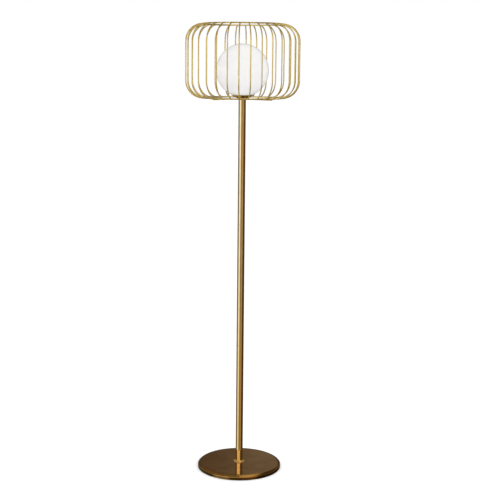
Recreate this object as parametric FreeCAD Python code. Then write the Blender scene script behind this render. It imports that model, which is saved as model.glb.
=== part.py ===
import FreeCAD, Part
import math
import os

Vector = FreeCAD.Vector
UP = Vector(0, 0, 1)

# Wire cage floor lamp: a round weighted foot, a screwed pole in three lengths, and on top of it
# an opal glass globe resting in a small dish, inside an open cage of bent wires.
# Millimetres. +Z is up and the origin is on the floor under the middle of the foot.
# The front of the lamp looks along -Y and the supply cord comes in at the back, on +Y.

# ---- Foot: a spun cover clamped over an iron disc that lies on a pad ----
base_radius = 147.5
base_height = 18.0
base_shoulder_radius = 18.0
base_rim_radius = 2.5       # tighter turn between the shoulder and the upright rim
base_shoulder_end = 40.0    # degrees above level where the shoulder runs into that turn
cover_wall = 1.2
cover_lift = 1.0            # the cover's rim stays this far above the floor
pad_thickness = 1.5
pad_side_gap = 2.0
weight_side_gap = 0.3
weight_web = 2.5            # iron left above the pocket, where the clamping nut pulls
pocket_radius = 17.0
collar_radius = 19.0
collar_top_radius = 14.6
collar_height = 5.0
collar_skirt = 1.4          # upright rim of the collar below its bevel
collar_side_gap = 0.15

# ---- Cord inlet: a rubber grommet in the back of the cover ----
inlet_height = 5.4
inlet_bore_radius = 2.9
grommet_neck_radius = 3.6
grommet_flange_radius = 4.2
grommet_flange_thickness = 1.2
grommet_side_gap = 0.1
grommet_room = 0.6          # iron is cut back this much round the grommet

# ---- Threaded fittings: hollow M10 rod, its nuts and the washer under the foot ----
thread_radius = 5.0
thread_gap = 0.05
rod_bore_radius = 3.8
rod_hole_gap = 0.3
thread_engagement = 12.5
rod_end_stub = 0.5          # the lowest rod shows this much below its nut
nut_across_flats = 14.0
nut_thickness = 3.0
washer_radius = 12.0
washer_thickness = 1.2

# ---- Pole ----
tube_radius = 12.7
tube_wall = 1.2
section_length = 429.0
section_names = ["pole_lower", "pole_middle", "pole_upper"]
bush_length = 15.0
bush_press_gap = 0.02

# ---- Cage ----
cage_radius = 193.0         # to the middle of the upright wires
ring_radius = 135.0         # to the middle of the two rings
cage_height = 247.0         # from the middle of one ring to the middle of the other
wire_radius = 2.0
ring_extra_radius = 0.5     # the rings are this much thicker than the wires welded to them
wire_count = 32
first_wire_azimuth = -3.5   # degrees from the front, positive towards +X
hub_thickness = 3.0
arm_count = 4
arm_width = 8.0
first_arm_azimuth = 45.0

# ---- Dish under the globe ----
dish_floor_radius = 13.0
dish_rim_radius = 35.7
dish_depth = 11.5           # from the underside to the middle of the rim bead
dish_wall = 1.2
dish_belly = 1.1            # how far the wall bows out from a straight cone
dish_bead_radius = 1.1

# ---- Globe ----
globe_radius = 89.5
globe_wall = 2.5
globe_mouth_radius = 28.5
globe_seat_gap = 0.3

# ---- Lampholder ----
holder_radius = 20.0
holder_wall = 1.2
holder_cap_height = 18.0
holder_cap_edge_radius = 4.0
holder_boss_radius = 8.0
holder_boss_height = 5.0
holder_core_gap = 0.4
holder_core_height = 16.0
holder_shell_height = 32.0
socket_radius = 13.3
socket_wall = 0.5
socket_height = 25.0
socket_lip_gap = 0.4
contact_radius = 4.0
contact_thickness = 2.0

# ---- Bulb: small globe shape with a screw cap ----
bulb_radius = 22.5
bulb_length = 78.0
bulb_wall = 1.0
bulb_neck_radius = 12.5
bulb_seat_gap = 0.3
bulb_cap_gap = 0.25         # between the thread crests and the socket
bulb_cap_height = 22.0
bulb_cap_threads = 5
bulb_thread_depth = 0.8
bulb_thread_lead_in = 4.0
bulb_tip_radius = 4.5
bulb_tip_height = 1.2
bulb_insulator_top_radius = 10.5
bulb_insulator_bottom_radius = 5.5
bulb_insulator_height = 3.4

# ---- Flat twin lead, held all the way from the inlet to the lampholder ----
lead_width = 5.4
lead_thickness = 3.2
lead_bend_radius = 4.0
groove_side_gap = 1.0

# ---- Heights that follow from the sizes above ----
cover_ceiling = base_height - cover_wall
web_underside = cover_ceiling - weight_web
base_nut_bottom = web_underside - washer_thickness - nut_thickness
pole_top = base_height + section_length * len(section_names)
hub_top = pole_top + hub_thickness
ring_wire_radius = wire_radius + ring_extra_radius
bottom_ring_height = hub_top + ring_wire_radius
top_ring_height = bottom_ring_height + cage_height
dish_floor_top = hub_top + dish_wall
holder_bottom = dish_floor_top + nut_thickness
holder_core_bottom = holder_bottom + holder_wall + holder_boss_height
holder_core_top = holder_core_bottom + holder_core_height
holder_cap_top = holder_bottom + holder_cap_height
holder_shell_top = holder_cap_top + holder_shell_height
bulb_bottom = holder_core_top + contact_thickness + bulb_seat_gap
bulb_cap_bottom = bulb_bottom + bulb_tip_height + bulb_insulator_height
bulb_cap_top = bulb_cap_bottom + bulb_cap_height
bulb_centre_height = bulb_bottom + bulb_length - bulb_radius

# ---- Radii that follow ----
tube_inside_radius = tube_radius - tube_wall
rod_hole_radius = thread_radius + rod_hole_gap
thread_hole_radius = thread_radius + thread_gap
weight_radius = base_radius - cover_wall - weight_side_gap
corner_radius = cage_radius - ring_radius
bulb_cap_radius = socket_radius - bulb_cap_gap

# The globe sits on the rim bead, so its middle is where the two round sections meet.
seat_distance = globe_radius + globe_seat_gap + dish_bead_radius
globe_centre_height = hub_top + dish_depth + math.sqrt(seat_distance ** 2 - dish_rim_radius ** 2)

# The grommet's two flanges grip the cover's wall between them.
grommet_inner_face = base_radius - cover_wall - grommet_side_gap - grommet_flange_thickness
grommet_outer_face = base_radius + grommet_flange_thickness


def line(start, end):
    """Straight edge between two (radius, height) points of a turned profile."""
    return Part.makeLine(Vector(start[0], 0, start[1]), Vector(end[0], 0, end[1]))


def arc(start, middle, end):
    """Arc through three (radius, height) points of a turned profile."""
    points = [Vector(point[0], 0, point[1]) for point in (start, middle, end)]
    return Part.Arc(*points).toShape()


def lines(points):
    """Straight edges through a list of (radius, height) points."""
    return [line(start, end) for start, end in zip(points, points[1:])]


def turned(edges):
    """Solid of revolution about the lamp's axis from a closed chain of profile edges."""
    face = Part.Face(Part.Wire(edges))
    return face.revolve(Vector(0, 0, 0), UP, 360)


def ring_section(inner, outer, bottom, top):
    """Plain turned ring with a rectangular section."""
    return turned(lines([(inner, bottom), (outer, bottom), (outer, top), (inner, top), (inner, bottom)]))


def on_circle(radius, azimuth, height):
    """Point at an azimuth in degrees, counted from the front towards +X."""
    angle = math.radians(azimuth)
    return Vector(radius * math.sin(angle), -radius * math.cos(angle), height)


def at_angle(centre, radius, degrees):
    """Point on a profile circle, with 0 degrees pointing outwards and 90 pointing up."""
    angle = math.radians(degrees)
    return (centre[0] + radius * math.cos(angle), centre[1] + radius * math.sin(angle))


# ---- Foot ----

def make_base_pad():
    """Felt disc that the whole foot stands on."""
    radius = base_radius - cover_wall - pad_side_gap
    return Part.makeCylinder(radius, pad_thickness)


def foot_shoulder(inset, lift):
    """Soft edge of the foot, moved in from the cover's surface by an inset and then lifted.

    Returns its edges, its point on the flat top and its point on the upright rim."""
    shoulder_radius = base_shoulder_radius - inset
    rim_radius = base_rim_radius - inset
    reach = base_shoulder_radius - base_rim_radius
    shoulder_height = base_height - base_shoulder_radius + lift
    rim_centre = (base_radius - base_rim_radius,
                  shoulder_height + reach * math.sin(math.radians(base_shoulder_end)))
    shoulder_centre = (rim_centre[0] - reach * math.cos(math.radians(base_shoulder_end)), shoulder_height)
    top = at_angle(shoulder_centre, shoulder_radius, 90)
    turn = at_angle(shoulder_centre, shoulder_radius, base_shoulder_end)
    side = at_angle(rim_centre, rim_radius, 0)
    over = at_angle(shoulder_centre, shoulder_radius, (90 + base_shoulder_end) / 2)
    round_rim = at_angle(rim_centre, rim_radius, base_shoulder_end / 2)
    return [arc(top, over, turn), arc(turn, round_rim, side)], top, side


def make_base_weight():
    """Iron disc with a nut pocket and a lead groove in its underside."""
    shoulder, shoulder_top, side = foot_shoulder(cover_wall + weight_side_gap, weight_side_gap)
    bottom_inner = (rod_hole_radius, pad_thickness)
    top_inner = (rod_hole_radius, cover_ceiling)
    edges = lines([shoulder_top, top_inner, bottom_inner, (weight_radius, pad_thickness), side])
    disc = turned(Part.sortEdges(edges + shoulder)[0])
    pocket_height = web_underside - pad_thickness
    pocket = Part.makeCylinder(pocket_radius, pocket_height, Vector(0, 0, pad_thickness))
    groove_width = lead_width + 2 * groove_side_gap
    groove_top = inlet_height + lead_thickness / 2 + groove_side_gap
    groove_corner = Vector(-groove_width / 2, 0, pad_thickness)
    groove = Part.makeBox(groove_width, weight_radius, groove_top - pad_thickness, groove_corner)
    seat_start = grommet_inner_face - grommet_room
    seat_radius = grommet_flange_radius + grommet_room
    seat = Part.makeCylinder(seat_radius, base_radius - seat_start,
                             Vector(0, seat_start, inlet_height), Vector(0, 1, 0))
    return disc.cut(pocket).cut(groove).cut(seat)


def make_base_cover():
    """Spun cover with a soft shoulder, open below, with the inlet hole in its back."""
    outer, outer_top, outer_side = foot_shoulder(0, 0)
    inner, inner_top, inner_side = foot_shoulder(cover_wall, 0)
    hole_top = (rod_hole_radius, base_height)
    hole_bottom = (rod_hole_radius, cover_ceiling)
    rim = [outer_side, (base_radius, cover_lift), (base_radius - cover_wall, cover_lift), inner_side]
    edges = outer + lines(rim) + inner + lines([inner_top, hole_bottom, hole_top, outer_top])
    shell = turned(Part.sortEdges(edges)[0])
    hole = Part.makeCylinder(grommet_neck_radius + grommet_side_gap, grommet_outer_face - grommet_inner_face,
                             Vector(0, grommet_inner_face, inlet_height), Vector(0, 1, 0))
    return shell.cut(hole)


def make_cable_grommet():
    """Rubber bush with a flange on each side of the cover's wall."""
    axis = Vector(0, 1, 0)
    length = grommet_outer_face - grommet_inner_face
    start = Vector(0, grommet_inner_face, inlet_height)
    neck = Part.makeCylinder(grommet_neck_radius, length, start, axis)
    inner_flange = Part.makeCylinder(grommet_flange_radius, grommet_flange_thickness, start, axis)
    outer_flange = inner_flange.translated(Vector(0, length - grommet_flange_thickness, 0))
    bore = Part.makeCylinder(inlet_bore_radius, length, start, axis)
    return neck.fuse([inner_flange, outer_flange]).removeSplitter().cut(bore)


def make_base_collar():
    """Bevelled ring lying on the cover round the foot of the pole."""
    inner = tube_radius + collar_side_gap
    skirt_top = base_height + collar_skirt
    top = base_height + collar_height
    return turned(lines([(inner, base_height), (collar_radius, base_height), (collar_radius, skirt_top),
                         (collar_top_radius, top), (inner, top), (inner, base_height)]))


def make_base_washer():
    """Washer between the foot's nut and the iron web."""
    return ring_section(rod_hole_radius, washer_radius, web_underside - washer_thickness, web_underside)


# ---- Threaded fittings ----

def make_rod(bottom, top):
    """Length of hollow threaded rod, its thread as a plain cylinder."""
    return ring_section(rod_bore_radius, thread_radius, bottom, top)


def make_base_nipple():
    """Rod that clamps the foot together and screws into the bottom of the pole."""
    return make_rod(base_nut_bottom - rod_end_stub, base_height + thread_engagement)


def make_joint_nipples():
    """Equal rods: one at each seam of the pole and one at its top, holding the head."""
    heights = [base_height + section_length * (index + 1) for index in range(len(section_names))]
    rods = [make_rod(height - thread_engagement, height + thread_engagement) for height in heights]
    return Part.makeCompound(rods)


def make_nut(bottom):
    """Hexagon nut on the rod."""
    corner_distance = nut_across_flats / math.sqrt(3)
    corners = [on_circle(corner_distance, 60 * index, bottom) for index in range(7)]
    hexagon = Part.Face(Part.makePolygon(corners))
    bore = Part.makeCylinder(thread_hole_radius, nut_thickness, Vector(0, 0, bottom))
    return hexagon.extrude(Vector(0, 0, nut_thickness)).cut(bore)


def make_lock_nuts():
    """One nut under the foot and one in the dish."""
    return Part.makeCompound([make_nut(base_nut_bottom), make_nut(dish_floor_top)])


# ---- Pole ----

def make_pole_section(index):
    """Tube of one pole section, counted from the foot."""
    bottom = base_height + section_length * index
    return ring_section(tube_inside_radius, tube_radius, bottom, bottom + section_length)


def make_pole_bushes():
    """Threaded bush flush with each end of each tube."""
    bushes = []
    for index in range(len(section_names)):
        bottom = base_height + section_length * index
        top = bottom + section_length
        for start in (bottom, top - bush_length):
            bushes.append(ring_section(thread_hole_radius, tube_inside_radius - bush_press_gap,
                                       start, start + bush_length))
    return Part.makeCompound(bushes)


# ---- Cage ----

def make_ring(height):
    """Round wire ring."""
    return Part.makeTorus(ring_radius, ring_wire_radius, Vector(0, 0, height), UP)


def make_cage_spider():
    """Hub clamped on the pole's top, with flat arms that carry the bottom ring."""
    hub = Part.makeCylinder(tube_radius, hub_thickness, Vector(0, 0, pole_top))
    reach = ring_radius + ring_wire_radius
    arm = Part.makeBox(arm_width, reach, hub_thickness, Vector(-arm_width / 2, -reach, pole_top))
    arms = []
    for index in range(arm_count):
        azimuth = first_arm_azimuth + 360.0 / arm_count * index
        arms.append(arm.rotated(Vector(0, 0, 0), UP, azimuth))
    bore = Part.makeCylinder(rod_hole_radius, hub_thickness, Vector(0, 0, pole_top))
    return hub.fuse(arms).removeSplitter().cut(bore)


def make_first_wire():
    """Upright wire at the front, bent in at both ends and coped against the two rings."""
    bend = corner_radius * math.sqrt(0.5)
    lower_centre = bottom_ring_height + corner_radius
    upper_centre = top_ring_height - corner_radius

    def place(radius, height):
        return on_circle(radius, 0, height)

    lower_end = place(ring_radius, bottom_ring_height)
    lower_bend = place(ring_radius + bend, lower_centre - bend)
    side_bottom = place(cage_radius, lower_centre)
    side_top = place(cage_radius, upper_centre)
    upper_bend = place(ring_radius + bend, upper_centre + bend)
    upper_end = place(ring_radius, top_ring_height)
    path = Part.Wire([Part.Arc(lower_end, lower_bend, side_bottom).toShape(),
                      Part.makeLine(side_bottom, side_top),
                      Part.Arc(side_top, upper_bend, upper_end).toShape()])
    section = Part.Wire([Part.makeCircle(wire_radius, lower_end, Vector(0, 1, 0))])
    bar = path.makePipeShell([section], True, False)
    return bar.cut(make_ring(bottom_ring_height)).cut(make_ring(top_ring_height))


def make_cage_wires():
    """All upright wires, keyed by node name, turned round the axis from the first."""
    first = make_first_wire()
    wires = {}
    for index in range(wire_count):
        azimuth = first_wire_azimuth + 360.0 / wire_count * index
        wires["cage_wire_%02d" % (index + 1)] = first.rotated(Vector(0, 0, 0), UP, azimuth)
    return wires


# ---- Dish and globe ----

def bowed(start, end):
    """Arc from start to end that bows down and out by the dish's belly."""
    run = end[0] - start[0]
    rise = end[1] - start[1]
    length = math.hypot(run, rise)
    middle = ((start[0] + end[0]) / 2 + dish_belly * rise / length,
              (start[1] + end[1]) / 2 - dish_belly * run / length)
    return arc(start, middle, end)


def make_glass_dish():
    """Shallow dish with a flat floor, a bowed wall and a rolled bead at its rim."""
    rim_height = hub_top + dish_depth
    outer_foot = (dish_floor_radius, hub_top)
    outer_rim = (dish_rim_radius + dish_wall / 2, rim_height)
    inner_rim = (dish_rim_radius - dish_wall / 2, rim_height)
    inner_foot = (dish_floor_radius, dish_floor_top)
    hole_top = (rod_hole_radius, dish_floor_top)
    hole_bottom = (rod_hole_radius, hub_top)
    edges = [line(hole_bottom, outer_foot), bowed(outer_foot, outer_rim), line(outer_rim, inner_rim)]
    edges += [bowed(inner_foot, inner_rim), line(inner_foot, hole_top), line(hole_top, hole_bottom)]
    bowl = turned(Part.sortEdges(edges)[0])
    bead = Part.makeTorus(dish_rim_radius, dish_bead_radius, Vector(0, 0, rim_height), UP)
    return bowl.fuse(bead)


def make_globe():
    """Hollow opal globe, open at the bottom, with a fire-rounded mouth."""
    middle_radius = globe_radius - globe_wall / 2
    inner_radius = globe_radius - globe_wall
    mouth_angle = math.degrees(math.asin((globe_mouth_radius + globe_wall / 2) / middle_radius))
    centre = (0, globe_centre_height)
    lip_centre = at_angle(centre, middle_radius, mouth_angle - 90)
    outer_edge = at_angle(centre, globe_radius, mouth_angle - 90)
    inner_edge = at_angle(centre, inner_radius, mouth_angle - 90)
    lip_tip = at_angle(lip_centre, globe_wall / 2, mouth_angle + 180)
    outer_top = (0, globe_centre_height + globe_radius)
    inner_top = (0, globe_centre_height + inner_radius)
    outer = arc(outer_edge, at_angle(centre, globe_radius, 0), outer_top)
    inner = arc(inner_top, at_angle(centre, inner_radius, 0), inner_edge)
    return turned([outer, line(outer_top, inner_top), inner, arc(inner_edge, lip_tip, outer_edge)])


# ---- Lampholder ----

def make_lampholder_cap():
    """Cup screwed on the top rod, with an inner boss for the thread."""
    edge_centre = (holder_radius - holder_cap_edge_radius, holder_bottom + holder_cap_edge_radius)
    inner_edge = holder_cap_edge_radius - holder_wall
    floor_top = holder_bottom + holder_wall
    outer_low = at_angle(edge_centre, holder_cap_edge_radius, 270)
    outer_side = at_angle(edge_centre, holder_cap_edge_radius, 0)
    inner_low = at_angle(edge_centre, inner_edge, 270)
    inner_side = at_angle(edge_centre, inner_edge, 0)
    hole_bottom = (thread_hole_radius, holder_bottom)
    edges = [line(hole_bottom, outer_low)]
    edges.append(arc(outer_low, at_angle(edge_centre, holder_cap_edge_radius, 315), outer_side))
    edges += lines([outer_side, (holder_radius, holder_cap_top),
                    (holder_radius - holder_wall, holder_cap_top), inner_side])
    edges.append(arc(inner_side, at_angle(edge_centre, inner_edge, 315), inner_low))
    edges += lines([inner_low, (holder_boss_radius, floor_top), (holder_boss_radius, holder_core_bottom),
                    (thread_hole_radius, holder_core_bottom), hole_bottom])
    return turned(edges)


def make_lampholder_core():
    """Porcelain block standing on the cap's boss; the lead ends at its underside."""
    radius = holder_radius - holder_wall - holder_core_gap
    return Part.makeCylinder(radius, holder_core_height, Vector(0, 0, holder_core_bottom))


def make_lampholder_socket():
    """Screw sleeve for the bulb's cap, its thread as a plain cylinder."""
    return ring_section(socket_radius, socket_radius + socket_wall,
                        holder_core_top, holder_core_top + socket_height)


def make_lampholder_contact():
    """Centre contact on the porcelain block."""
    return Part.makeCylinder(contact_radius, contact_thickness, Vector(0, 0, holder_core_top))


def make_lampholder_shell():
    """Outer sleeve screwed on the cap, with a lip round the socket."""
    inner = holder_radius - holder_wall
    lip = socket_radius + socket_wall + socket_lip_gap
    lip_bottom = holder_shell_top - holder_wall
    return turned(lines([(inner, holder_cap_top), (holder_radius, holder_cap_top),
                         (holder_radius, holder_shell_top), (lip, holder_shell_top),
                         (lip, lip_bottom), (inner, lip_bottom), (inner, holder_cap_top)]))


# ---- Bulb ----

def make_bulb_contact():
    """Solder tip under the bulb's cap."""
    return Part.makeCylinder(bulb_tip_radius, bulb_tip_height, Vector(0, 0, bulb_bottom))


def make_bulb_insulator():
    """Black glass cone between the tip and the cap."""
    return Part.makeCone(bulb_insulator_bottom_radius, bulb_insulator_top_radius,
                         bulb_insulator_height, Vector(0, 0, bulb_bottom + bulb_tip_height))


def make_bulb_cap():
    """Screw cap with its thread as separate rounded ribs."""
    root_radius = bulb_cap_radius - bulb_thread_depth
    pitch = (bulb_cap_height - 2 * bulb_thread_lead_in) / bulb_cap_threads
    low = bulb_cap_bottom + bulb_thread_lead_in
    edges = lines([(0, bulb_cap_bottom), (bulb_insulator_top_radius, bulb_cap_bottom), (root_radius, low)])
    for index in range(bulb_cap_threads):
        rib_low = low + pitch * index
        edges.append(arc((root_radius, rib_low), (bulb_cap_radius, rib_low + pitch / 2),
                         (root_radius, rib_low + pitch)))
    high = low + pitch * bulb_cap_threads
    edges += lines([(root_radius, high), (root_radius, bulb_cap_top), (0, bulb_cap_top),
                    (0, bulb_cap_bottom)])
    return turned(edges)


def bulb_outline(inset):
    """Straight shoulder and round end of the bulb, moved in from its surface by an inset.

    The shoulder leaves the foot as a tangent to the round end."""
    radius = bulb_radius - inset
    foot = (bulb_neck_radius - inset, bulb_cap_top)
    centre = (0, bulb_centre_height)
    distance = math.hypot(foot[0], foot[1] - bulb_centre_height)
    towards_foot = math.degrees(math.atan2(foot[1] - bulb_centre_height, foot[0]))
    touch_angle = towards_foot + math.degrees(math.acos(radius / distance))
    touch = at_angle(centre, radius, touch_angle)
    top = (0, bulb_centre_height + radius)
    edges = [line(foot, touch), arc(touch, at_angle(centre, radius, (touch_angle + 90) / 2), top)]
    return edges, foot, top


def make_bulb_glass():
    """Hollow bulb of opal glass standing on its cap."""
    outer_edges, outer_foot, outer_top = bulb_outline(0)
    inner_edges, inner_foot, inner_top = bulb_outline(bulb_wall)
    closing = [line(outer_top, inner_top), line(inner_foot, outer_foot)]
    return turned(Part.sortEdges(outer_edges + inner_edges + closing)[0])


# ---- Lead ----

def make_supply_lead():
    """Flat twin lead from the grommet along the groove and up the pole to the lampholder."""
    start = Vector(0, grommet_inner_face, inlet_height)
    bend_start = Vector(0, lead_bend_radius, inlet_height)
    bend_end = Vector(0, 0, inlet_height + lead_bend_radius)
    reach = lead_bend_radius * math.sqrt(0.5)
    bend_middle = Vector(0, lead_bend_radius - reach, inlet_height + lead_bend_radius - reach)
    end = Vector(0, 0, holder_core_bottom)
    path = Part.Wire([Part.makeLine(start, bend_start),
                      Part.Arc(bend_start, bend_middle, bend_end).toShape(),
                      Part.makeLine(bend_end, end)])
    half_flat = (lead_width - lead_thickness) / 2
    half_thick = lead_thickness / 2

    def corner(side, level):
        return start + Vector(side * half_flat, 0, level * half_thick)

    def tip(side):
        return start + Vector(side * lead_width / 2, 0, 0)

    section = Part.Wire([Part.makeLine(corner(-1, -1), corner(1, -1)),
                         Part.Arc(corner(1, -1), tip(1), corner(1, 1)).toShape(),
                         Part.makeLine(corner(1, 1), corner(-1, 1)),
                         Part.Arc(corner(-1, 1), tip(-1), corner(-1, -1)).toShape()])
    return path.makePipeShell([section], True, False)


def build():
    """All pieces of the lamp, keyed by node name."""
    pieces = {
        "base_pad": make_base_pad(),
        "base_weight": make_base_weight(),
        "base_cover": make_base_cover(),
        "cable_grommet": make_cable_grommet(),
        "base_collar": make_base_collar(),
        "base_nipple": make_base_nipple(),
        "base_washer": make_base_washer(),
        "lock_nuts": make_lock_nuts(),
        "pole_bushes": make_pole_bushes(),
        "joint_nipples": make_joint_nipples(),
        "cage_spider": make_cage_spider(),
        "cage_bottom_ring": make_ring(bottom_ring_height),
        "cage_top_ring": make_ring(top_ring_height),
        "glass_dish": make_glass_dish(),
        "globe": make_globe(),
        "lampholder_cap": make_lampholder_cap(),
        "lampholder_core": make_lampholder_core(),
        "lampholder_socket": make_lampholder_socket(),
        "lampholder_contact": make_lampholder_contact(),
        "lampholder_shell": make_lampholder_shell(),
        "bulb_contact": make_bulb_contact(),
        "bulb_insulator": make_bulb_insulator(),
        "bulb_cap": make_bulb_cap(),
        "bulb_glass": make_bulb_glass(),
        "supply_lead": make_supply_lead(),
    }
    for index, name in enumerate(section_names):
        pieces[name] = make_pole_section(index)
    pieces.update(make_cage_wires())
    return pieces


os.makedirs("parts", exist_ok=True)
for node, shape in build().items():
    shape.exportStep("parts/%s.step" % node)
    counts = (node, len(shape.Solids), shape.Volume, shape.isValid())
    print("%-20s solids %d  volume %.1f  valid %s" % counts)
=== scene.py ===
import math

import bpy
from mathutils import Matrix, Vector


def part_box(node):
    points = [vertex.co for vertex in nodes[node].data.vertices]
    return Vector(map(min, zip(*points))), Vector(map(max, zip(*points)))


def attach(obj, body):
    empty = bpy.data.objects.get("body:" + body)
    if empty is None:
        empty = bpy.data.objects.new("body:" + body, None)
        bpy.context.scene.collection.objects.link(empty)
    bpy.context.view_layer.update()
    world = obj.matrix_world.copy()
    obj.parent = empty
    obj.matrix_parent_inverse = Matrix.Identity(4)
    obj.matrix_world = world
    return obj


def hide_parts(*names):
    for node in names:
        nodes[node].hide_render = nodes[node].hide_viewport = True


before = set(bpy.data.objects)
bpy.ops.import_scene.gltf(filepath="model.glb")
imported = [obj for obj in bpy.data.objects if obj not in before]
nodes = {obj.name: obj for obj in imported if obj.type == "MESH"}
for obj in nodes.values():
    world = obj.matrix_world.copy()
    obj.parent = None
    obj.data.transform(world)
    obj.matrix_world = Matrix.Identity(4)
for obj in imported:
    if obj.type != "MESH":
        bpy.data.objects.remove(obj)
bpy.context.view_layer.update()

# Looks of the wire cage floor lamp. Metres, +Z up, the front along -Y.

# ---- Camera, as it stood for the photograph ----
image_width = 483
image_height = 500
sensor_size = 36.0
focal_pixels = 1117.9
camera_side = 0.00204
camera_distance = 3.8374
camera_height = 1.42804
camera_pitch = 0.1658
camera_roll = 0.0090
camera_reach = 200.0

# ---- Foot and pole: sizes that a node's box doesn't give ----
foot_shoulder_radius = 0.018
foot_rim_radius = 0.0025      # tighter turn between the shoulder and the upright rim
foot_shoulder_end = 40.0      # degrees above level where the shoulder runs into that turn
cover_wall = 0.0012
rod_hole_radius = 0.0053
inlet_height = 0.0054
inlet_hole_radius = 0.0037
seam_hold = 0.0003            # a ring this close to a seam keeps the flat beyond it flat in its shading
collar_gap = 0.00015
collar_skirt = 0.0014
collar_top_radius = 0.0146
collar_softening = 0.0006
tube_wall = 0.0012
seam_chamfer = 0.0005

# ---- Cage and globe ----
wire_radius = 0.0020
weld_flare = 0.0004
weld_length = 0.0030
arm_edge = 0.0006
globe_wall = 0.0025

# ---- Lampholder, bulb cap and nuts ----
thread_pitch = 0.00363
thread_depth = 0.0008
thread_fade = 0.0015
cap_lead_in = 0.004
sleeve_wall = 0.0005
sleeve_sheet = 0.0002
lip_gap = 0.0004
lip_round = 0.0012
holder_wall = 0.0012
rib_count = 48
rib_depth = 0.0005
rib_margin = 0.004
rib_run_out = 0.0015
nut_edge = 0.0005
washer_edge = 0.0002

# ---- Fineness of the meshes: segments go round the lamp's axis, sides round a wire or a hole ----
tube_segments = 96
foot_segments = 256
collar_segments = 128
ring_segments = 256
globe_segments = 192
screw_segments = 96
holder_segments = 384
hole_sides = 64
ring_sides = 24
wire_sides = 20
shoulder_steps = 30
rim_steps = 14
inner_shoulder_steps = 12
inner_rim_steps = 6
corner_steps = 14
globe_outer_steps = 72
globe_inner_steps = 48
mouth_steps = 8
cap_rows = 56
sleeve_rows = 84
rib_rows = 24
lip_steps = 6
sharp_angle = 35.0            # degrees; a fold sharper than this shows as an edge
eased_angle = 40.0
softened_share = 0.45         # a softened corner takes at most this much of each side
on_axis = 1e-7
tolerance = 1e-6

# ---- Studio: what the polished parts mirror ----
# A panel is its start, its end, the softness of its edges and its colour. It lies by degrees from the front
# towards +X, and the overhead one by the mirrored ray's X.
dark_wall = (0.085, 0.050, 0.022)
wall_panels = [
    (-200, -150, 8, (0.24, 0.25, 0.30)),
    (-150, -76, 10, (0.22, 0.24, 0.32)),
    (-76, -26, 8, (1.18, 1.28, 1.55)),
    (-26, 16, 8, (0.33, 0.28, 0.20)),
    (16, 50, 9, (0.52, 0.41, 0.31)),
]
floor_tint = (0.78, 0.66, 0.38)
level_panels = [
    (-148, -76, 8, (0.90, 0.82, 0.54)),
    (60, 146, 8, (0.68, 0.60, 0.34)),
]
low_dark = (0.060, 0.048, 0.018)
low_panels = [(-42, 48, 10, (0.82, 0.64, 0.32))]
back_above_left = (0.118, 0.088, 0.062)
back_above_right = (0.190, 0.170, 0.135)
raised_panels = [
    (-150, 150, 20, (0.10, 0.075, 0.050)),
    (-70, 28, 12, (1.08, 1.02, 0.74)),
]
high_panels = [
    (-146, -52, 9, (0.17, 0.13, 0.05)),
    (-52, 70, 9, (0.46, 0.38, 0.21)),
    (70, 146, 9, (0.05, 0.042, 0.028)),
]
overhead_dull = (0.17, 0.14, 0.06)
overhead_panels = [(0.02, 0.42, 0.07, (0.60, 0.47, 0.22))]
deep_dark = (0.12, 0.090, 0.040)
deep_panels = [(-160, -62, 15, (0.80, 0.74, 0.56))]

# Each band is the pair of heights of the mirrored ray between which one layer of the studio gives way to
# the next: 0 is level, 1 straight up and -1 straight down.
deep_band = (-0.52, -0.40)
floor_band = (-0.42, -0.04)
level_band = (-0.015, -0.005)
low_band = (0.09, 0.16)
raised_band = (0.25, 0.32)
high_band = (0.38, 0.47)
overhead_band = (0.80, 0.90)
back_split = (-0.03, 0.03)    # by the mirrored ray's X

even_light = 1.04
floor_half = 40.0
floor_grey = 0.90
floor_glow = 0.16

# Name, place, target, size and watts: a key from above left, a small lamp beside the cage and, strongest of
# the three, a broad fill from the right.
area_lamps = [
    ("key_lamp", (-2.2, -2.4, 3.0), (0.0, 0.0, 0.9), 2.4, 4.5),
    ("side_lamp", (-0.85, -0.3, 1.45), (0.0, 0.0, 1.43), 0.5, 0.3),
    ("fill_lamp", (2.2, -1.8, 0.7), (0.0, 0.0, 1.4), 1.8, 10.0),
]


# ---- Shader graphs ----

class Graph:
    """Adds shader nodes and links them in one call."""

    def __init__(self, tree):
        self.tree = tree

    def add(self, kind, inputs=None, **settings):
        node = self.tree.nodes.new(kind)
        for key, value in settings.items():
            setattr(node, key, value)
        for key, value in (inputs or {}).items():
            self.feed(node.inputs[key], value)
        return node

    def feed(self, socket, value):
        if isinstance(value, bpy.types.NodeSocket):
            self.tree.links.new(value, socket)
        else:
            socket.default_value = value

    def math(self, operation, first, second=0.0):
        return self.add("ShaderNodeMath", {0: first, 1: second}, operation=operation).outputs[0]

    def remap(self, value, low, high, to_low, to_high):
        node = self.add("ShaderNodeMapRange", {"Value": value, "From Min": low, "From Max": high,
                                               "To Min": to_low, "To Max": to_high},
                        interpolation_type="SMOOTHSTEP")
        return node.outputs["Result"]

    def mix(self, factor, first, second, blend_type="MIX"):
        node = self.add("ShaderNodeMix", {"Factor": factor}, data_type="RGBA", blend_type=blend_type)
        self.feed(node.inputs[6], first)
        self.feed(node.inputs[7], second)
        return node.outputs[2]

    def noise(self, vector, scale, detail, distortion=0.0):
        node = self.add("ShaderNodeTexNoise", {"Vector": vector, "Scale": scale, "Detail": detail,
                                               "Distortion": distortion})
        return node.outputs["Fac"]

    def patches(self, vector, scale, detail, low, high, distortion=0.0, to_low=0.0, to_high=1.0):
        """Noise whose range from low to high is stretched to another range."""
        return self.remap(self.noise(vector, scale, detail, distortion), low, high, to_low, to_high)

    def stretched(self, vector, scale):
        node = self.add("ShaderNodeMapping", {"Vector": vector, "Scale": scale})
        return node.outputs["Vector"]


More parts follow.
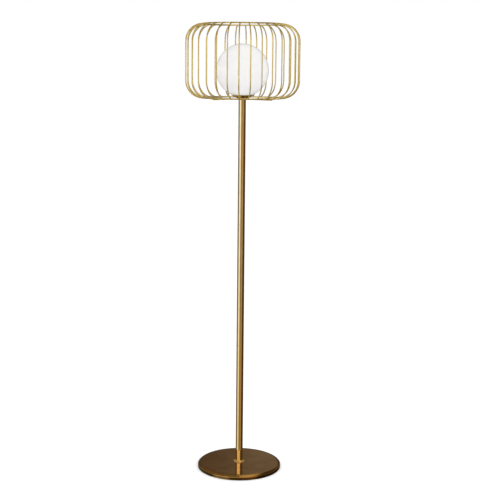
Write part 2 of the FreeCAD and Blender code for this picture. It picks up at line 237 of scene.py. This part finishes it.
def surface(name, **sockets):
    """New Principled material with fixed socket values.

    Returns the material, its graph, its shader and the object coordinates."""
    material = bpy.data.materials.new(name)
    material.use_nodes = True
    graph = Graph(material.node_tree)
    shader = material.node_tree.nodes["Principled BSDF"]
    for key, value in sockets.items():
        shader.inputs[key.replace("_", " ")].default_value = value
    coordinates = graph.add("ShaderNodeTexCoord").outputs["Object"]
    return material, graph, shader, coordinates


def rgb(red, green, blue):
    return (red, green, blue, 1.0)


def bump(graph, shader, height, strength, distance):
    node = graph.add("ShaderNodeBump", {"Height": height, "Strength": strength, "Distance": distance})
    graph.feed(shader.inputs["Normal"], node.outputs["Normal"])


def plated_metal(name, bright, dull, smooth, rough, grain, coat=0.0, metallic=1.0):
    """Polished metal with cloudy colour, smeared gloss and fine polishing lines along its grain."""
    material, graph, shader, place = surface(name, Metallic=metallic, Coat_Weight=coat, Coat_Roughness=0.08)
    clouds = graph.patches(place, scale=22.0, detail=5.0, distortion=0.6, low=0.35, high=0.68)
    spots = graph.patches(place, scale=240.0, detail=3.0, low=0.62, high=0.78, to_high=0.55)
    tone = graph.mix(clouds, bright, dull)
    graph.feed(shader.inputs["Base Color"], graph.mix(spots, tone, dull))
    smears = graph.patches(place, scale=46.0, detail=6.0, distortion=1.2, low=0.3, high=0.72,
                           to_low=smooth, to_high=rough)
    graph.feed(shader.inputs["Roughness"], smears)
    lines = graph.noise(graph.stretched(place, grain), scale=1.0, detail=3.0)
    bump(graph, shader, lines, strength=0.10, distance=0.00004)
    return material


def turned_metal(name, bright, dull, smooth, rough, coat, painted_rim_reflection=None):
    """Spun metal: faint rings round the axis and cloudy lacquer.

    The last argument is (low, high, colour), a painted reflection: the metal has that colour below the
    height low and its own above high."""
    material, graph, shader, place = surface(name, Metallic=1.0, Coat_Weight=coat, Coat_Roughness=0.05)
    parts = graph.add("ShaderNodeSeparateXYZ", {"Vector": place}).outputs
    flat = graph.add("ShaderNodeCombineXYZ", {"X": parts["X"], "Y": parts["Y"]}).outputs["Vector"]
    radius = graph.add("ShaderNodeVectorMath", {0: flat}, operation="LENGTH").outputs["Value"]
    along = graph.add("ShaderNodeCombineXYZ", {"X": radius}).outputs["Vector"]
    rings = graph.noise(along, scale=900.0, detail=2.0)
    clouds = graph.patches(place, scale=16.0, detail=5.0, distortion=0.8, low=0.35, high=0.7)
    tone = graph.mix(clouds, bright, dull)
    if painted_rim_reflection:
        low, high, colour = painted_rim_reflection
        # Painted reflection: a darker colour low down, standing in for the dark floor that the rim mirrors
        # close by.
        tone = graph.mix(graph.remap(parts["Z"], low, high, 1.0, 0.0), tone, colour)
    graph.feed(shader.inputs["Base Color"], tone)
    smears = graph.patches(place, scale=38.0, detail=6.0, distortion=1.4, low=0.3, high=0.7,
                           to_low=smooth, to_high=rough)
    graph.feed(shader.inputs["Roughness"], smears)
    bump(graph, shader, rings, strength=0.06, distance=0.00004)
    return material


def opal_glass(name, clear, shade):
    """White opal glass: smooth gloss, faint cloudiness and a slight orange-peel."""
    material, graph, shader, place = surface(name, IOR=1.45, Specular_IOR_Level=0.3,
                                             Subsurface_Weight=0.15, Subsurface_Scale=0.003,
                                             Subsurface_Radius=(1.0, 1.0, 1.0))
    clouds = graph.patches(place, scale=12.0, detail=4.0, distortion=0.3, low=0.3, high=0.7)
    graph.feed(shader.inputs["Base Color"], graph.mix(clouds, clear, shade))
    haze = graph.patches(place, scale=30.0, detail=5.0, low=0.3, high=0.7, to_low=0.10, to_high=0.17)
    graph.feed(shader.inputs["Roughness"], haze)
    bump(graph, shader, graph.noise(place, scale=60.0, detail=2.0), strength=0.05, distance=0.0002)
    return material


def moulded(name, colour, second, smooth, rough, grain_scale, depth, metallic=0.0, **sockets):
    """Cast, moulded or fired surface with its own grain, mottled colour and uneven gloss."""
    material, graph, shader, place = surface(name, Metallic=metallic, **sockets)
    mottle = graph.patches(place, scale=grain_scale * 0.2, detail=5.0, low=0.35, high=0.65)
    graph.feed(shader.inputs["Base Color"], graph.mix(mottle, colour, second))
    grain = graph.noise(place, grain_scale, detail=6.0)
    graph.feed(shader.inputs["Roughness"], graph.remap(grain, 0.3, 0.7, smooth, rough))
    bump(graph, shader, grain, strength=0.5, distance=depth)
    return material


def felt(name, colour, lint, fine=2600.0, long=500.0):
    """Pressed felt: short crossing fibres and pale lint."""
    material, graph, shader, place = surface(name, Roughness=0.96, Sheen_Weight=0.5, Sheen_Roughness=0.5)
    across = graph.noise(graph.stretched(place, (fine, long, fine)), scale=1.0, detail=4.0, distortion=2.0)
    along = graph.noise(graph.stretched(place, (long, fine, fine)), scale=1.0, detail=4.0, distortion=2.0)
    fibres = graph.math("MAXIMUM", across, along)
    pale = graph.remap(fibres, 0.55, 0.8, 0.0, 1.0)
    graph.feed(shader.inputs["Base Color"], graph.mix(pale, colour, lint))
    bump(graph, shader, fibres, strength=0.8, distance=0.0003)
    return material


# ---- Materials ----

brass_bright = rgb(0.88, 0.67, 0.34)
brass_dull = rgb(0.82, 0.60, 0.28)

polished_brass = plated_metal("polished brass", brass_bright, brass_dull, smooth=0.07, rough=0.14,
                              grain=(1500.0, 1500.0, 9.0), coat=0.1)
satin_brass = plated_metal("satin brass", rgb(0.95, 0.64, 0.25), rgb(0.88, 0.57, 0.20),
                           smooth=0.16, rough=0.26, grain=(700.0, 700.0, 60.0), metallic=0.74)
cage_brass = plated_metal("plated wire", rgb(0.97, 0.79, 0.32), rgb(0.91, 0.72, 0.27),
                          smooth=0.18, rough=0.28, grain=(900.0, 900.0, 40.0), metallic=0.92)
contact_brass = plated_metal("pressed brass", brass_bright, brass_dull, smooth=0.22, rough=0.38,
                             grain=(300.0, 300.0, 300.0))
zinc = plated_metal("zinc plate", rgb(0.62, 0.62, 0.60), rgb(0.46, 0.46, 0.45), smooth=0.28, rough=0.48,
                    grain=(500.0, 500.0, 500.0))
nickel = plated_metal("nickel plate", rgb(0.66, 0.63, 0.57), rgb(0.52, 0.50, 0.46),
                      smooth=0.18, rough=0.34, grain=(400.0, 400.0, 30.0))
# The foot's rim below 8.5 mm gets a darker colour: painted reflection of the dark floor close to the foot.
bronze = turned_metal("bronze lacquer", rgb(0.70, 0.44, 0.20), rgb(0.58, 0.35, 0.15), smooth=0.05,
                      rough=0.11, coat=0.05, painted_rim_reflection=(0.0085, 0.0115, rgb(0.17, 0.095, 0.024)))
dish_brass = turned_metal("spun brass", rgb(0.62, 0.46, 0.21), rgb(0.52, 0.38, 0.16),
                          smooth=0.12, rough=0.22, coat=0.2)
opal = opal_glass("opal glass", rgb(0.950, 0.952, 0.965), rgb(0.936, 0.938, 0.950))
bulb_opal = opal_glass("bulb opal", rgb(0.90, 0.90, 0.88), rgb(0.87, 0.865, 0.84))
solder = moulded("solder", rgb(0.50, 0.50, 0.51), rgb(0.36, 0.36, 0.37), smooth=0.35, rough=0.6,
                 grain_scale=900.0, depth=0.0001, metallic=1.0)
iron = moulded("cast iron", rgb(0.030, 0.030, 0.032), rgb(0.055, 0.052, 0.050), smooth=0.55, rough=0.8,
               grain_scale=700.0, depth=0.0004, metallic=0.3)
rubber = moulded("black rubber", rgb(0.016, 0.016, 0.016), rgb(0.026, 0.025, 0.024),
                 smooth=0.5, rough=0.68, grain_scale=1500.0, depth=0.0001)
phenolic = moulded("black phenolic", rgb(0.018, 0.017, 0.016), rgb(0.028, 0.026, 0.024),
                   smooth=0.28, rough=0.42, grain_scale=900.0, depth=0.00004)
porcelain = moulded("porcelain", rgb(0.80, 0.78, 0.73), rgb(0.74, 0.72, 0.66), smooth=0.12, rough=0.24,
                    grain_scale=600.0, depth=0.00005, Coat_Weight=0.5)
black_glass = moulded("black glass", rgb(0.012, 0.012, 0.014), rgb(0.02, 0.02, 0.022),
                      smooth=0.06, rough=0.16, grain_scale=300.0, depth=0.00003)
sheath = moulded("lead sheath", rgb(0.020, 0.020, 0.020), rgb(0.032, 0.032, 0.031),
                 smooth=0.38, rough=0.5, grain_scale=1200.0, depth=0.00005)
black_felt = felt("black felt", rgb(0.012, 0.012, 0.013), rgb(0.05, 0.05, 0.052))


# ---- Mesh helpers ----

def shaded(mesh, sharp_degrees):
    """Smooth shading except across sharp folds."""
    mesh.shade_smooth()
    mesh.set_sharp_from_angle(angle=math.radians(sharp_degrees))


def piece_from(name, vertices, faces, material, body, sharp_degrees=sharp_angle):
    """Mesh object that rides on a body, smooth except across sharp folds."""
    mesh = bpy.data.meshes.new(name)
    mesh.from_pydata(vertices, [], faces)
    mesh.update()
    shaded(mesh, sharp_degrees)
    mesh.materials.append(material)
    piece = bpy.data.objects.new(name, mesh)
    bpy.context.scene.collection.objects.link(piece)
    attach(piece, body)
    return piece


def softened(outline, radius, steps=4):
    """Closed outline of (radius, height) points with each corner turned into a small arc."""
    result = []
    for index, corner in enumerate(outline):
        here = Vector(corner)
        before = Vector(outline[index - 1]) - here
        after = Vector(outline[(index + 1) % len(outline)]) - here
        reach = min(radius, before.length * softened_share, after.length * softened_share)
        first = here + before.normalized() * reach
        last = here + after.normalized() * reach
        for step in range(steps + 1):
            share = step / steps
            bend = first.lerp(here, share).lerp(here.lerp(last, share), share)
            result.append((bend.x, bend.y))
    return result


def turned(name, outline, material, body, segments, closed=True, sharp_degrees=sharp_angle, swell=None):
    """Turned piece about the lamp's axis; points on the axis close into one vertex.

    A swell adds to the radius, by radius, height and angle."""
    vertices = []
    rows = []
    for radius, height in outline:
        if radius < on_axis:
            rows.append([len(vertices)] * segments)
            vertices.append((0.0, 0.0, height))
            continue
        rows.append(list(range(len(vertices), len(vertices) + segments)))
        for step in range(segments):
            angle = 2 * math.pi * step / segments
            reach = radius + (swell(radius, height, angle) if swell else 0.0)
            vertices.append((reach * math.cos(angle), reach * math.sin(angle), height))
    pairs = list(zip(rows, rows[1:]))
    if closed:
        pairs.append((rows[-1], rows[0]))
    faces = []
    for low, high in pairs:
        for step in range(segments):
            following = (step + 1) % segments
            corners = [low[step], low[following], high[following], high[step]]
            kept = list(dict.fromkeys(corners))
            if len(kept) > 2:
                faces.append(kept)
    return piece_from(name, vertices, faces, material, body, sharp_degrees)


def tube(points, radii, sides):
    """Vertices and faces of a round tube along points, with a radius at each point and open ends."""
    vertices = []
    faces = []
    normal = None
    for index, point in enumerate(points):
        ahead = points[min(index + 1, len(points) - 1)]
        behind = points[max(index - 1, 0)]
        direction = (ahead - behind).normalized()
        if normal is None:
            normal = direction.orthogonal().normalized()
        normal = (normal - direction * normal.dot(direction)).normalized()
        binormal = direction.cross(normal)
        for side in range(sides):
            angle = 2 * math.pi * side / sides
            offset = normal * math.cos(angle) + binormal * math.sin(angle)
            vertices.append(point + offset * radii[index])
    for index in range(len(points) - 1):
        start = index * sides
        for side in range(sides):
            following = (side + 1) % sides
            faces.append([start + side, start + following, start + sides + following, start + sides + side])
    return vertices, faces


def arc_points(centre, radius, start_degrees, end_degrees, steps):
    """(radius, height) points along an arc, ends included."""
    points = []
    for step in range(steps + 1):
        angle = math.radians(start_degrees + (end_degrees - start_degrees) * step / steps)
        points.append((centre[0] + radius * math.cos(angle), centre[1] + radius * math.sin(angle)))
    return points


def risers(radius, low, high, steps):
    """Points straight up a wall, ends included."""
    return [(radius, low + (high - low) * step / steps) for step in range(steps + 1)]


def extent(node):
    """Outer radius, lowest and highest point of a turned CAD node."""
    low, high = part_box(node)
    return high.x, low.z, high.z


def hole_cut(piece, radius, start, end, height):
    """Cuts a round hole through a piece, along +Y from a start to an end at a height."""
    ends = [Vector((0.0, start, height)), Vector((0.0, end, height))]
    vertices, faces = tube(ends, [radius, radius], hole_sides)
    faces.append(list(reversed(range(hole_sides))))
    faces.append(list(range(hole_sides, 2 * hole_sides)))
    mesh = bpy.data.meshes.new("hole")
    mesh.from_pydata(vertices, [], faces)
    cutter = bpy.data.objects.new("hole", mesh)
    bpy.context.scene.collection.objects.link(cutter)
    modifier = piece.modifiers.new("hole", "BOOLEAN")
    modifier.operation = "DIFFERENCE"
    modifier.solver = "EXACT"
    modifier.object = cutter
    cut = bpy.data.meshes.new_from_object(piece.evaluated_get(bpy.context.evaluated_depsgraph_get()))
    piece.modifiers.remove(modifier)
    bpy.data.objects.remove(cutter)
    bpy.data.meshes.remove(mesh)
    shaded(cut, sharp_angle)
    piece.data = cut


def dress(material, *names):
    """Gives CAD nodes a finished material."""
    for name in names:
        slots = nodes[name].data.materials
        slots.clear()
        slots.append(material)


def eased(name, width, segments=2):
    """Rounds the edges of a CAD node as it is shown."""
    modifier = nodes[name].modifiers.new("eased edges", "BEVEL")
    modifier.width = width
    modifier.segments = segments
    modifier.limit_method = "ANGLE"
    modifier.angle_limit = math.radians(eased_angle)


# ---- Pole and foot ----

def build_foot():
    """Spun cover: a soft shoulder that turns tighter at the rim, and the cord inlet's hole in its back."""
    radius, bottom, top = extent("base_cover")
    shoulder_end = math.radians(foot_shoulder_end)
    reach = foot_shoulder_radius - foot_rim_radius
    base = top - foot_shoulder_radius
    rim = (radius - foot_rim_radius, base + reach * math.sin(shoulder_end))
    shoulder = (rim[0] - reach * math.cos(shoulder_end), base)
    flat = shoulder[0] - seam_hold
    under = top - cover_wall
    inner_shoulder_radius = foot_shoulder_radius - cover_wall
    inner_rim_radius = foot_rim_radius - cover_wall
    outline = [(radius - cover_wall, bottom), (radius, bottom), (radius, rim[1] - seam_hold)]
    outline += arc_points(rim, foot_rim_radius, 0, foot_shoulder_end, rim_steps)
    outline += arc_points(shoulder, foot_shoulder_radius, foot_shoulder_end, 90, shoulder_steps)[1:]
    outline += [(flat, top), (rod_hole_radius, top), (rod_hole_radius, under), (flat, under)]
    outline += arc_points(shoulder, inner_shoulder_radius, 90, foot_shoulder_end, inner_shoulder_steps)
    outline += arc_points(rim, inner_rim_radius, foot_shoulder_end, 0, inner_rim_steps)[1:]
    cover = turned("foot_cover", outline, bronze, "lamp", foot_segments)
    hole_cut(cover, inlet_hole_radius, radius - 3 * cover_wall, radius + cover_wall, inlet_height)
    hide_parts("base_cover")


def build_pole():
    """Three tubes whose chamfered ends leave a fine line at each seam."""
    for name in ("pole_lower", "pole_middle", "pole_upper"):
        radius, bottom, top = extent(name)
        bore = radius - tube_wall
        chamfered = radius - seam_chamfer
        outline = [(bore, bottom), (chamfered, bottom), (radius, bottom + seam_chamfer),
                   (radius, top - seam_chamfer), (chamfered, top), (bore, top)]
        tube_piece = turned(name + "_tube", outline, polished_brass, "lamp", tube_segments, sharp_degrees=30)
        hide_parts(name)


def build_collar():
    """Bevelled ring round the foot of the pole, its edges broken."""
    radius, bottom, top = extent("base_collar")
    bore = extent("pole_lower")[0] + collar_gap
    outline = [(bore, bottom), (radius, bottom), (radius, bottom + collar_skirt),
               (collar_top_radius, top), (bore, top)]
    ring = turned("foot_collar", softened(outline, collar_softening), satin_brass, "lamp", collar_segments)
    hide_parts("base_collar")


# ---- Cage ----

def wire_path():
    """Centreline of the front wire, and the wire radius of the rings.

    It runs from the bottom ring's middle to the top ring's middle, with a bend at each end."""
    ring_radius, ring_low, ring_high = extent("cage_bottom_ring")
    ring_wire = (ring_high - ring_low) / 2
    bottom = (ring_low + ring_high) / 2
    top_low, top_high = extent("cage_top_ring")[1:]
    top = (top_low + top_high) / 2
    inner = ring_radius - ring_wire
    outer = cage_middle_radius()
    corner = outer - inner
    lower = arc_points((inner, bottom + corner), corner, -90, 0, corner_steps)
    upper = arc_points((inner, top - corner), corner, 0, 90, corner_steps)
    return [Vector((0.0, -radius, height)) for radius, height in lower + upper], ring_wire


def cage_middle_radius():
    """Distance from the axis to the middle of the upright wires."""
    farthest = max(vertex.co.xy.length for vertex in nodes["cage_wire_01"].data.vertices)
    return farthest - wire_radius


def wire_azimuth(name):
    """Angle of a wire round the axis, counted from the front towards +X: midway between its flanks."""
    low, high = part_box(name)
    middle = (low + high) / 2
    near = math.atan2(middle.x, -middle.y)
    upright = cage_middle_radius() - wire_radius
    back = Matrix.Rotation(-near, 3, "Z")
    turned_back = [back @ vertex.co for vertex in nodes[name].data.vertices
                   if vertex.co.xy.length > upright]
    angles = [math.atan2(point.x, -point.y) for point in turned_back]
    return near + (min(angles) + max(angles)) / 2


def build_wires():
    """Swept wires, flared where they are brazed to the rings."""
    points, ring_wire = wire_path()
    lengths = [0.0]
    for behind, ahead in zip(points, points[1:]):
        lengths.append(lengths[-1] + (ahead - behind).length)
    radii = []
    for length in lengths:
        clear_of_ring = max(0.0, min(length, lengths[-1] - length) - ring_wire)
        radii.append(wire_radius + weld_flare * math.exp(-clear_of_ring / weld_length))
    vertices, faces = tube(points, radii, wire_sides)
    for name in sorted(name for name in nodes if name.startswith("cage_wire_")):
        turn = Matrix.Rotation(wire_azimuth(name), 3, "Z")
        placed = [turn @ vertex for vertex in vertices]
        wire = piece_from(name + "_bar", placed, faces, cage_brass, "lamp")
        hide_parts(name)


def build_rings():
    """The two round rings that the wires end on."""
    for name in ("cage_bottom_ring", "cage_top_ring"):
        outer, low, high = extent(name)
        ring_wire = (high - low) / 2
        centre = (outer - ring_wire, (low + high) / 2)
        outline = arc_points(centre, ring_wire, 0, 360 - 360 / ring_sides, ring_sides - 1)
        ring = turned(name + "_bar", outline, cage_brass, "lamp", ring_segments)
        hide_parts(name)


# ---- Globe ----

def build_globe():
    """Smooth hollow glass with a fire-rounded mouth."""
    radius, bottom, top = extent("globe")
    centre = (0.0, top - radius)
    middle = radius - globe_wall / 2
    lip_height = bottom + globe_wall / 2 - centre[1]
    mouth = -90 + math.degrees(math.acos(-lip_height / middle))
    lip_centre = arc_points(centre, middle, mouth, mouth, 1)[0]
    outline = arc_points(centre, radius, mouth, 90, globe_outer_steps)
    outline += arc_points(centre, radius - globe_wall, 90, mouth, globe_inner_steps)
    outline += arc_points(lip_centre, globe_wall / 2, mouth + 180, mouth + 360, mouth_steps)[1:-1]
    glass = turned("globe_glass", outline, opal, "globe", globe_segments, sharp_degrees=60)
    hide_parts("globe")


# ---- Lampholder and bulb cap ----

def thread_crest(height, angle, low, high):
    """0 in the root and 1 on the crest of the screw thread, fading out at both ends."""
    turns = (height - low) / thread_pitch - angle / (2 * math.pi)
    crest = 0.5 - 0.5 * math.cos(2 * math.pi * turns)
    room = min(height - low, high - height)
    return crest * min(1.0, max(0.0, room / thread_fade))


def build_bulb_cap():
    """Rolled screw cap with its real thread."""
    radius, bottom, top = extent("bulb_cap")
    root = radius - thread_depth
    foot = extent("bulb_insulator")[0]
    low = bottom + cap_lead_in
    high = top - cap_lead_in

    def swell(point_radius, height, angle):
        on_wall = point_radius > root - tolerance
        return thread_depth * thread_crest(height, angle, low, high) if on_wall else 0.0

    outline = [(0.0, bottom), (foot, bottom)] + risers(root, low, high, cap_rows) + [(root, top), (0.0, top)]
    cap = turned("bulb_screw_cap", outline, nickel, "bulb", screw_segments, closed=False, swell=swell)
    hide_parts("bulb_cap")


def build_socket():
    """Pressed screw sleeve whose wall follows the thread."""
    outer, bottom, top = extent("lampholder_socket")
    inner = outer - sleeve_wall
    wave = sleeve_wall - sleeve_sheet

    def swell(point_radius, height, angle):
        return wave * thread_crest(height, angle, bottom, top)

    outside = risers(inner + sleeve_sheet, bottom, top, sleeve_rows)
    outline = risers(inner, bottom, top, sleeve_rows) + list(reversed(outside))
    sleeve = turned("socket_sleeve", outline, contact_brass, "lamp", screw_segments, swell=swell)
    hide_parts("lampholder_socket")


def build_holder_shell():
    """Moulded shell with grip ribs round its middle and a rounded lip."""
    radius, bottom, top = extent("lampholder_shell")
    lip = extent("lampholder_socket")[0] + lip_gap
    rib_low = bottom + rib_margin
    rib_high = top - rib_margin

    def swell(point_radius, height, angle):
        between = min(height - rib_low, rib_high - height)
        if point_radius < radius - tolerance or between < 0:
            return 0.0
        valley = 0.5 - 0.5 * math.cos(rib_count * angle)
        return -rib_depth * valley * min(1.0, between / rib_run_out)

    inside = radius - holder_wall
    ceiling = top - holder_wall
    corner = arc_points((radius - lip_round, top - lip_round), lip_round, 0, 90, lip_steps)
    outline = [(radius - rib_depth, bottom), (radius, bottom + rib_depth)]
    outline += risers(radius, rib_low, rib_high, rib_rows) + corner
    outline += [(lip, top), (lip, ceiling), (inside, ceiling), (inside, bottom)]
    shell = turned("holder_shell", outline, phenolic, "lamp", holder_segments, sharp_degrees=50, swell=swell)
    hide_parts("lampholder_shell")


# ---- Materials of the CAD nodes that stay ----

def dress_nodes():
    """Finished materials and eased edges for the nodes whose solids are shown."""
    dress(black_felt, "base_pad")
    dress(iron, "base_weight")
    dress(rubber, "cable_grommet")
    dress(zinc, "base_nipple", "base_washer", "lock_nuts", "pole_bushes", "joint_nipples")
    dress(cage_brass, "cage_spider")
    dress(dish_brass, "glass_dish")
    dress(phenolic, "lampholder_cap")
    dress(porcelain, "lampholder_core")
    dress(contact_brass, "lampholder_contact")
    dress(solder, "bulb_contact")
    dress(black_glass, "bulb_insulator")
    dress(bulb_opal, "bulb_glass")
    dress(sheath, "supply_lead")
    eased("cage_spider", arm_edge)
    eased("lock_nuts", nut_edge)
    eased("base_washer", washer_edge)


# ---- Studio ----

def build_floor():
    """Pale floor that takes the lamp's shadow, meets the white background unseen and is clear from below."""
    mesh = bpy.data.meshes.new("floor")
    corners = [(-floor_half, -floor_half, 0), (floor_half, -floor_half, 0),
               (floor_half, floor_half, 0), (-floor_half, floor_half, 0)]
    mesh.from_pydata(corners, [], [(0, 1, 2, 3)])
    floor = bpy.data.objects.new("floor", mesh)
    bpy.context.scene.collection.objects.link(floor)
    material = bpy.data.materials.new("pale floor")
    material.use_nodes = True
    graph = Graph(material.node_tree)
    material.node_tree.nodes.remove(material.node_tree.nodes["Principled BSDF"])
    seen = graph.add("ShaderNodeLightPath").outputs["Is Camera Ray"]
    grey = rgb(floor_grey, floor_grey, floor_grey)
    lit = graph.add("ShaderNodeBsdfDiffuse", {"Color": grey}).outputs[0]
    glow_strength = graph.math("MULTIPLY", seen, floor_glow)
    glow = graph.add("ShaderNodeEmission", {"Color": rgb(1, 1, 1), "Strength": glow_strength}).outputs[0]
    both = graph.add("ShaderNodeAddShader", {0: lit, 1: glow}).outputs[0]
    clear = graph.add("ShaderNodeBsdfTransparent").outputs[0]
    from_below = graph.add("ShaderNodeNewGeometry").outputs["Backfacing"]
    one_sided = graph.add("ShaderNodeMixShader", {0: from_below, 1: both, 2: clear}).outputs[0]
    output = material.node_tree.nodes["Material Output"]
    graph.feed(output.inputs["Surface"], one_sided)
    mesh.materials.append(material)
    floor.visible_glossy = False


def window(graph, value, low, high, softness):
    """1 where the value lies between two limits, fading over a softness at each."""
    rising = graph.remap(value, low - softness, low + softness, 0.0, 1.0)
    falling = graph.remap(value, high - softness, high + softness, 1.0, 0.0)
    return graph.math("MULTIPLY", rising, falling)


def panelled(graph, value, base, panels):
    """Lays soft-edged panels over a base colour, in order, by a value such as the degrees round the lamp."""
    for start, end, softness, colour in panels:
        base = graph.mix(window(graph, value, start, end, softness), base, rgb(*colour))
    return base


def above(graph, value, band):
    """0 below a band and 1 above it."""
    return graph.remap(value, band[0], band[1], 0.0, 1.0)


def below(graph, value, band):
    """1 below a band and 0 above it."""
    return graph.remap(value, band[0], band[1], 1.0, 0.0)


def build_reflections(graph):
    """Colour that a mirrored ray finds, by its degrees round the lamp and its height.

    From the bottom up: deep floor, tinted floor, walls, lit strip at level, low panels, raised panels, high
    panels and the light overhead."""
    direction = graph.add("ShaderNodeTexCoord").outputs["Generated"]
    parts = graph.add("ShaderNodeSeparateXYZ", {"Vector": direction}).outputs
    height = parts["Z"]
    turn = graph.math("ARCTAN2", parts["X"], graph.math("MULTIPLY", parts["Y"], -1.0))
    degrees = graph.math("MULTIPLY", turn, 180 / math.pi)
    back = graph.mix(above(graph, parts["X"], back_split), rgb(*back_above_left), rgb(*back_above_right))

    deep = panelled(graph, degrees, rgb(*deep_dark), deep_panels)
    walls = panelled(graph, degrees, rgb(*dark_wall), wall_panels)
    tinted = graph.mix(1.0, walls, rgb(*floor_tint), blend_type="MULTIPLY")
    level = panelled(graph, degrees, walls, level_panels)
    low = panelled(graph, degrees, rgb(*low_dark), low_panels)
    raised = panelled(graph, degrees, back, raised_panels)
    high = panelled(graph, degrees, back, high_panels)
    overhead = panelled(graph, parts["X"], rgb(*overhead_dull), overhead_panels)

    studio = graph.mix(above(graph, height, level_band), walls, level)
    studio = graph.mix(below(graph, height, floor_band), studio, tinted)
    upper = graph.mix(above(graph, height, raised_band), low, raised)
    studio = graph.mix(above(graph, height, low_band), studio, upper)
    studio = graph.mix(above(graph, height, high_band), studio, high)
    studio = graph.mix(above(graph, height, overhead_band), studio, overhead)
    return graph.mix(below(graph, height, deep_band), studio, deep)


def build_world():
    """White background for the camera, even light for the object, and a studio for its reflections."""
    world = bpy.data.worlds.new("studio")
    bpy.context.scene.world = world
    world.use_nodes = True
    graph = Graph(world.node_tree)
    world.node_tree.nodes.clear()
    path = graph.add("ShaderNodeLightPath").outputs
    studio = build_reflections(graph)
    reflected = graph.add("ShaderNodeBackground", {"Color": studio, "Strength": 1.0}).outputs[0]
    even = graph.add("ShaderNodeBackground", {"Color": rgb(1, 1, 1), "Strength": even_light}).outputs[0]
    white = graph.add("ShaderNodeBackground", {"Color": rgb(1, 1, 1), "Strength": 1.0}).outputs[0]
    mirrored = graph.math("MAXIMUM", path["Is Glossy Ray"], path["Is Transmission Ray"])
    seen = path["Is Camera Ray"]
    object_light = graph.add("ShaderNodeMixShader", {0: mirrored, 1: even, 2: reflected}).outputs[0]
    shown = graph.add("ShaderNodeMixShader", {0: seen, 1: object_light, 2: white}).outputs[0]
    output = graph.add("ShaderNodeOutputWorld", {"Surface": shown})
    output.is_active_output = True


def build_lamps():
    """Square soft lamps, each pointed at its target and unseen in reflections."""
    for name, place, target, size, power in area_lamps:
        data = bpy.data.lights.new(name, "AREA")
        data.shape = "SQUARE"
        data.size = size
        data.energy = power
        lamp = bpy.data.objects.new(name, data)
        lamp.location = place
        aim = Vector(target) - Vector(place)
        lamp.rotation_euler = aim.to_track_quat("-Z", "Y").to_euler()
        lamp.visible_glossy = False
        bpy.context.scene.collection.objects.link(lamp)


def build_camera():
    """Camera at the photograph's place, turned by its pitch and roll."""
    data = bpy.data.cameras.new("camera")
    data.sensor_width = sensor_size
    data.lens = focal_pixels * sensor_size / max(image_width, image_height)
    data.clip_end = camera_reach
    camera = bpy.data.objects.new("camera", data)
    forward = Vector((0.0, math.cos(camera_pitch), -math.sin(camera_pitch)))
    level_up = Vector((0.0, math.sin(camera_pitch), math.cos(camera_pitch)))
    level_right = Vector((1.0, 0.0, 0.0))
    right = level_right * math.cos(camera_roll) + level_up * math.sin(camera_roll)
    up = level_up * math.cos(camera_roll) - level_right * math.sin(camera_roll)
    turn = Matrix((right, up, -forward)).transposed().to_4x4()
    camera.matrix_world = Matrix.Translation((camera_side, -camera_distance, camera_height)) @ turn
    bpy.context.scene.collection.objects.link(camera)
    bpy.context.scene.camera = camera


build_camera()
build_world()
build_lamps()
build_floor()
dress_nodes()
build_foot()
build_pole()
build_collar()
build_wires()
build_rings()
build_globe()
build_bulb_cap()
build_socket()
build_holder_shell()

bpy.context.scene.view_settings.view_transform = "Standard"
